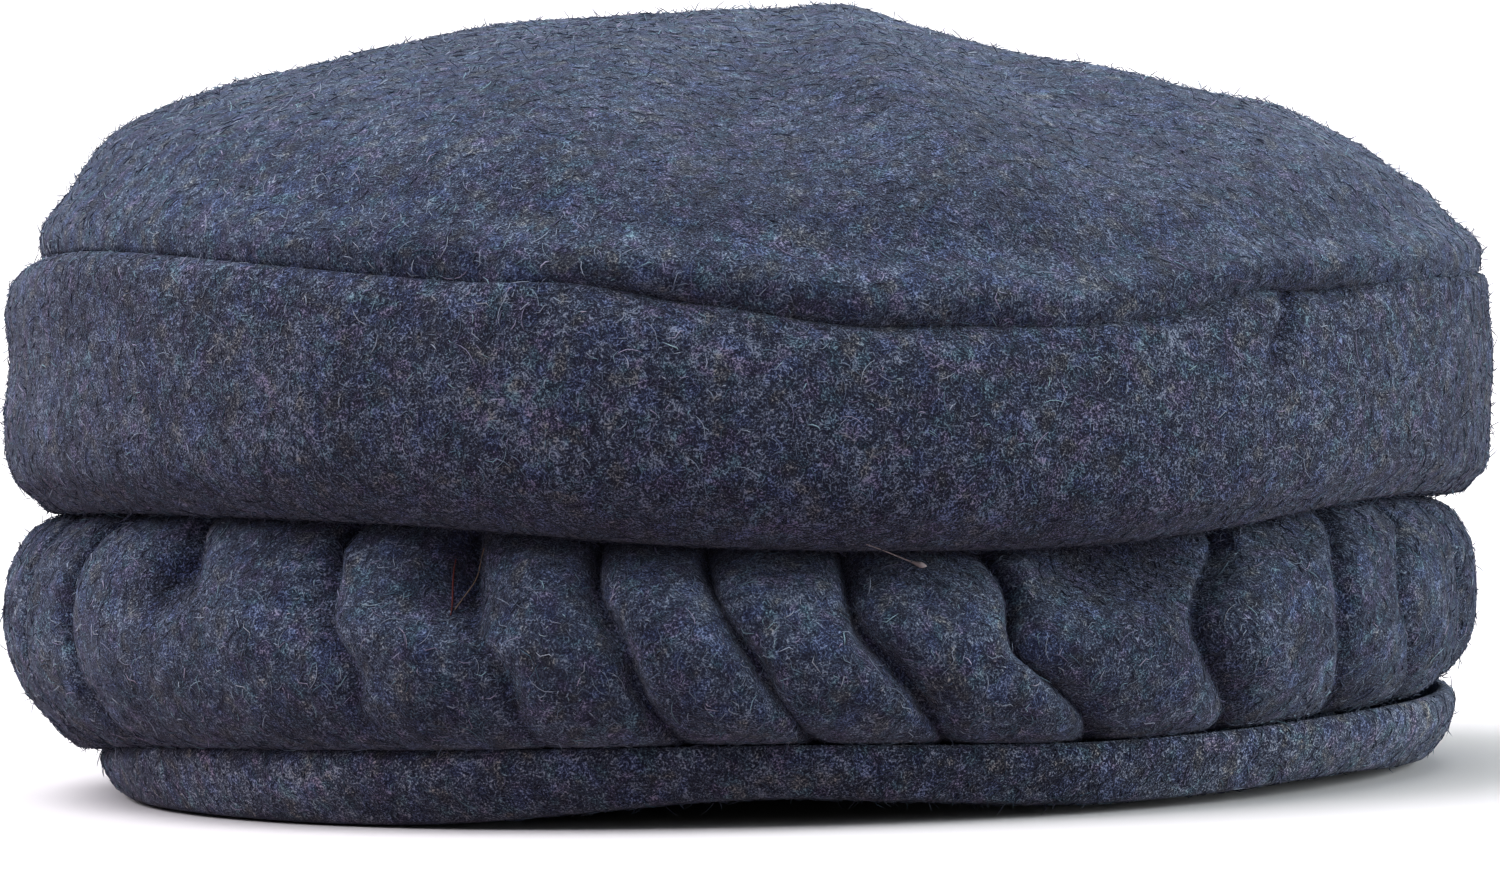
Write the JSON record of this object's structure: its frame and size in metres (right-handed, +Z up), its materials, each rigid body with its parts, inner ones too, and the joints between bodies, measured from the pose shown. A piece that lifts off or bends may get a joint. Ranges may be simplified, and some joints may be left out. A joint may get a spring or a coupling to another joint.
{
  "type": "prayer cap",
  "caption": "Round soft cap of felted wool with a domed crown, a puffed side band, a thick roll in slanting pleats and a turned-up band, hollow and open below for the head.",
  "frame": {"origin": "on the surface that the cap lies on, under the middle of the cap", "axes": "+Z up through the crown, -Y towards the front that the picture shows, +X to the right of that front"},
  "size_m": [0.2437, 0.2417, 0.1255],
  "materials": {
    "crown_felt": "matt felted wool, heathered navy and grey-blue",
    "side_felt": "matt felted wool, heathered navy and grey-blue",
    "roll_felt": "matt felted wool, heathered navy and grey-blue",
    "band_felt": "matt felted wool, heathered navy and grey-blue"
  },
  "bodies": {
    "root": {"crown_top": "crown_felt", "crown_side": "side_felt", "pleated_roll": "roll_felt", "headband": "band_felt"}
  },
  "joints": []
}
